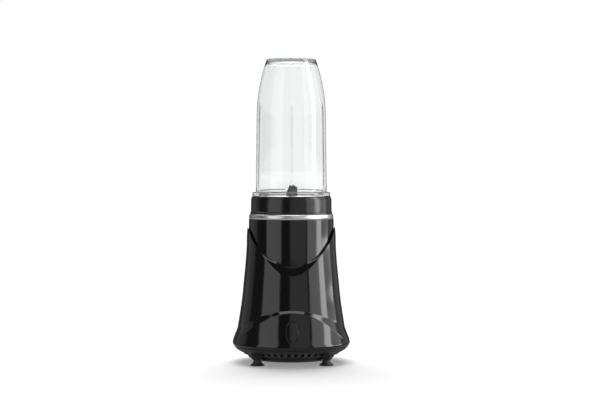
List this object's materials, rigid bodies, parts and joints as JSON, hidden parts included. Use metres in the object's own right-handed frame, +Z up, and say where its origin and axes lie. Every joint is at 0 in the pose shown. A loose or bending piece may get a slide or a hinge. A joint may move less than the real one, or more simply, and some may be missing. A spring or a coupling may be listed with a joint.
{
  "type": "countertop blender",
  "caption": "Countertop cup blender: flared gloss motor base with an arched skirt, bright ring, twist-in blade holder and a tall clear cup standing mouth down on cross blades.",
  "frame": {"origin": "on the spin axis, on the surface that the feet stand on", "axes": "+Z up along the spin axis, the button faces -Y, +X to the right of a person facing the button"},
  "size_m": [0.1348, 0.1348, 0.347],
  "materials": {
    "housing_black": "high gloss moulded",
    "holder_black": "gloss moulded",
    "deck_grey": "fine moulded texture",
    "bright_ring": "polished plating",
    "clear_cup": "clear moulded plastic",
    "blade_steel": "ground and brushed",
    "machined_steel": "turned",
    "bearing_steel": "ground",
    "bracket_metal": "die cast",
    "core_laminate": "stacked sheet",
    "copper_wire": "enamelled",
    "brush_brass": "pressed sheet",
    "carbon": "pressed carbon",
    "switch_plastic": "moulded",
    "fan_plastic": "moulded",
    "coupling_plastic": "moulded",
    "foot_rubber": "soft moulded",
    "seal_silicone": "soft translucent",
    "plunger_white": "moulded acetal",
    "bush_bronze": "sintered"
  },
  "bodies": {
    "motor_base": {"main_housing": "housing_black", "top_sleeve": "housing_black", "chrome_ring": "bright_ring", "seat_deck": "deck_grey", "bottom_cover": "housing_black", "foot_front_left": "foot_rubber", "foot_front_right": "foot_rubber", "foot_back_left": "foot_rubber", "foot_back_right": "foot_rubber", "cord_grommet": "foot_rubber", "upper_bracket": "bracket_metal", "lower_bracket": "bracket_metal", "upper_bearing": "bearing_steel", "lower_bearing": "bearing_steel", "stator_core": "core_laminate", "field_coil_front": "copper_wire", "field_coil_back": "copper_wire", "brush_holder_left": "brush_brass", "brush_holder_right": "brush_brass", "carbon_brush_left": "carbon", "carbon_brush_right": "carbon", "motor_mount_front_left": "foot_rubber", "motor_mount_front_right": "foot_rubber", "motor_mount_back_left": "foot_rubber", "motor_mount_back_right": "foot_rubber", "shaft_seal": "foot_rubber", "power_switch": "switch_plastic", "interlock_switch": "switch_plastic", "switch_bracket": "machined_steel", "cover_screws": "machined_steel", "sleeve_screws": "machined_steel", "mount_screws": "machined_steel", "stator_bolts": "machined_steel", "button_spring": "machined_steel", "interlock_spring": "machined_steel"},
    "motor_rotor": {"rotor_shaft": "machined_steel", "armature_core": "core_laminate", "armature_winding": "copper_wire", "commutator": "copper_wire", "cooling_fan": "fan_plastic", "drive_coupling": "coupling_plastic"},
    "spindle_cartridge": {"bearing_cartridge": "machined_steel", "cartridge_nut": "machined_steel", "upper_bush": "bush_bronze", "lower_bush": "bush_bronze", "spindle_seal": "foot_rubber"},
    "blade_holder": {"blade_holder": "holder_black"},
    "cup_gasket": {"cup_gasket": "seal_silicone"},
    "tall_cup": {"tall_cup": "clear_cup"},
    "blades": {"blade_shaft": "machined_steel", "driven_gear": "coupling_plastic", "blade_spacer": "machined_steel", "lower_blade": "blade_steel", "upper_blade": "blade_steel", "blade_nut": "blade_steel"},
    "power_button": {"power_button": "housing_black"},
    "interlock_plunger": {"interlock_plunger": "plunger_white"}
  },
  "joints": [
    {"name": "motor_spin", "type": "hinge", "parent": "motor_base", "child": "motor_rotor", "pos_m": [0, 0, 0.094], "axis": [0, 0, 1], "continuous": true},
    {"name": "jar_lift", "type": "slide", "parent": "motor_base", "child": "spindle_cartridge", "axis": [0, 0, 1], "range_m": [0, 0.06]},
    {"name": "jar_twist", "type": "hinge", "parent": "spindle_cartridge", "child": "blade_holder", "pos_m": [0, 0, 0.17], "axis": [0, 0, 1], "range_deg": [-28, 0]},
    {"name": "cup_screw", "type": "hinge", "parent": "blade_holder", "child": "cup_gasket", "pos_m": [0, 0, 0.173], "axis": [0, 0, 1], "range_deg": [0, 180]},
    {"name": "cup_lift", "type": "slide", "parent": "cup_gasket", "child": "tall_cup", "axis": [0, 0, 1], "range_m": [0, 0.07]},
    {"name": "blade_spin", "type": "hinge", "parent": "spindle_cartridge", "child": "blades", "pos_m": [0, 0, 0.188], "axis": [0, 0, 1], "continuous": true},
    {"name": "button_press", "type": "slide", "parent": "motor_base", "child": "power_button", "axis": [0, 1, 0], "range_m": [0, 0.0022], "stiffness_N_per_m": 600, "springref_m": -0.003, "deforming": ["button_spring"]},
    {"name": "interlock_travel", "type": "slide", "parent": "motor_base", "child": "interlock_plunger", "axis": [0, 0, 1], "range_m": [0, 0.0026], "deforming": ["interlock_spring"]}
  ],
  "couplings": [
    {"joint": "blade_spin", "follows": "motor_spin", "ratio": 1},
    {"joint": "interlock_travel", "follows": "jar_twist", "m_per_rad": -0.005116}
  ]
}
